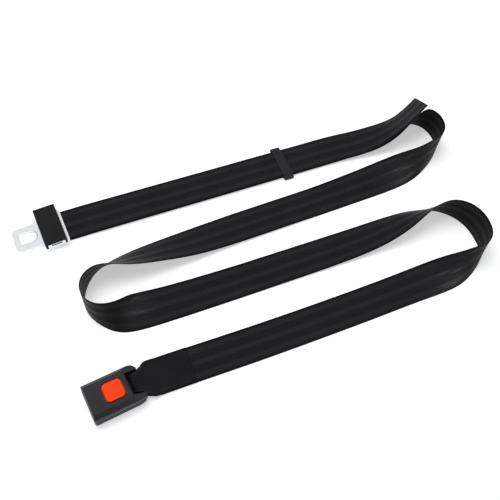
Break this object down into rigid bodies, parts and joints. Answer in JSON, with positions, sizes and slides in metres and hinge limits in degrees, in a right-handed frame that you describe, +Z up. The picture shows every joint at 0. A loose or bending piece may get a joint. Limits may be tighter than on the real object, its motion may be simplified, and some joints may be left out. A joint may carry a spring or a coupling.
{
  "type": "stretcher strap",
  "caption": "Black webbing restraint strap laid in flat turns, with a push-button buckle at one end and a slide-adjuster tongue and keeper at the other",
  "frame": {"origin": "centre of the box that encloses the whole strap, on the surface it lies on", "axes": "+X along the webbing's straight runs, from the buckle and tongue end towards the two bends; +Z up from the surface"},
  "size_m": [0.657, 0.3098, 0.0669],
  "materials": {
    "woven_polyester": "woven satin",
    "moulded_abs_black": "fine texture",
    "moulded_keeper": "fine texture",
    "moulded_button_red": "satin",
    "chromed_steel": "bright",
    "zinc_plated_steel": "satin",
    "phosphated_black_steel": "satin",
    "spring_wire": "satin",
    "moulded_nylon": "satin"
  },
  "bodies": {
    "strap": {"webbing": "woven_polyester", "tongue_plate": "chromed_steel", "tongue_cover": "moulded_abs_black", "lower_housing": "moulded_abs_black", "upper_housing": "moulded_abs_black", "buckle_frame": "phosphated_black_steel", "latch_pin": "phosphated_black_steel", "webbing_bar": "phosphated_black_steel", "latch_spring_left": "spring_wire", "latch_spring_right": "spring_wire", "ejector_spring": "spring_wire", "housing_screw_1": "zinc_plated_steel", "housing_screw_2": "zinc_plated_steel", "housing_screw_3": "zinc_plated_steel", "housing_screw_4": "zinc_plated_steel"},
    "button": {"press_button": "moulded_button_red"},
    "latch": {"latch_plate": "phosphated_black_steel"},
    "push_out": {"ejector": "moulded_nylon"},
    "adjuster_bar": {"lock_bar": "phosphated_black_steel"},
    "loop": {"keeper": "moulded_keeper"}
  },
  "joints": [
    {"name": "button_press", "type": "slide", "parent": "strap", "child": "button", "axis": [0, 0, -1], "range_m": [0, 0.0034], "stiffness_N_per_m": 900, "springref_m": -0.003},
    {"name": "latch_release", "type": "hinge", "parent": "strap", "child": "latch", "pos_m": [-0.24781, -0.12647, 0.0083], "axis": [0.0958, -0.9954, 0], "range_deg": [0, 8.5], "deforming": ["latch_spring_left", "latch_spring_right"]},
    {"name": "ejector_slide", "type": "slide", "parent": "strap", "child": "push_out", "axis": [0.9954, 0.0958, 0], "range_m": [0, 0.009], "stiffness_N_per_m": 150, "springref_m": -0.004, "deforming": ["ejector_spring"]},
    {"name": "lock_bar_slide", "type": "slide", "parent": "strap", "child": "adjuster_bar", "axis": [0.9978, 0.0488, 0.0443], "range_m": [0, 0.003]},
    {"name": "keeper_slide", "type": "slide", "parent": "strap", "child": "loop", "axis": [1, 0, 0], "range_m": [-0.275, 0.045]}
  ],
  "couplings": [
    {"joint": "latch_release", "follows": "button_press", "rad_per_m": 43.2}
  ]
}
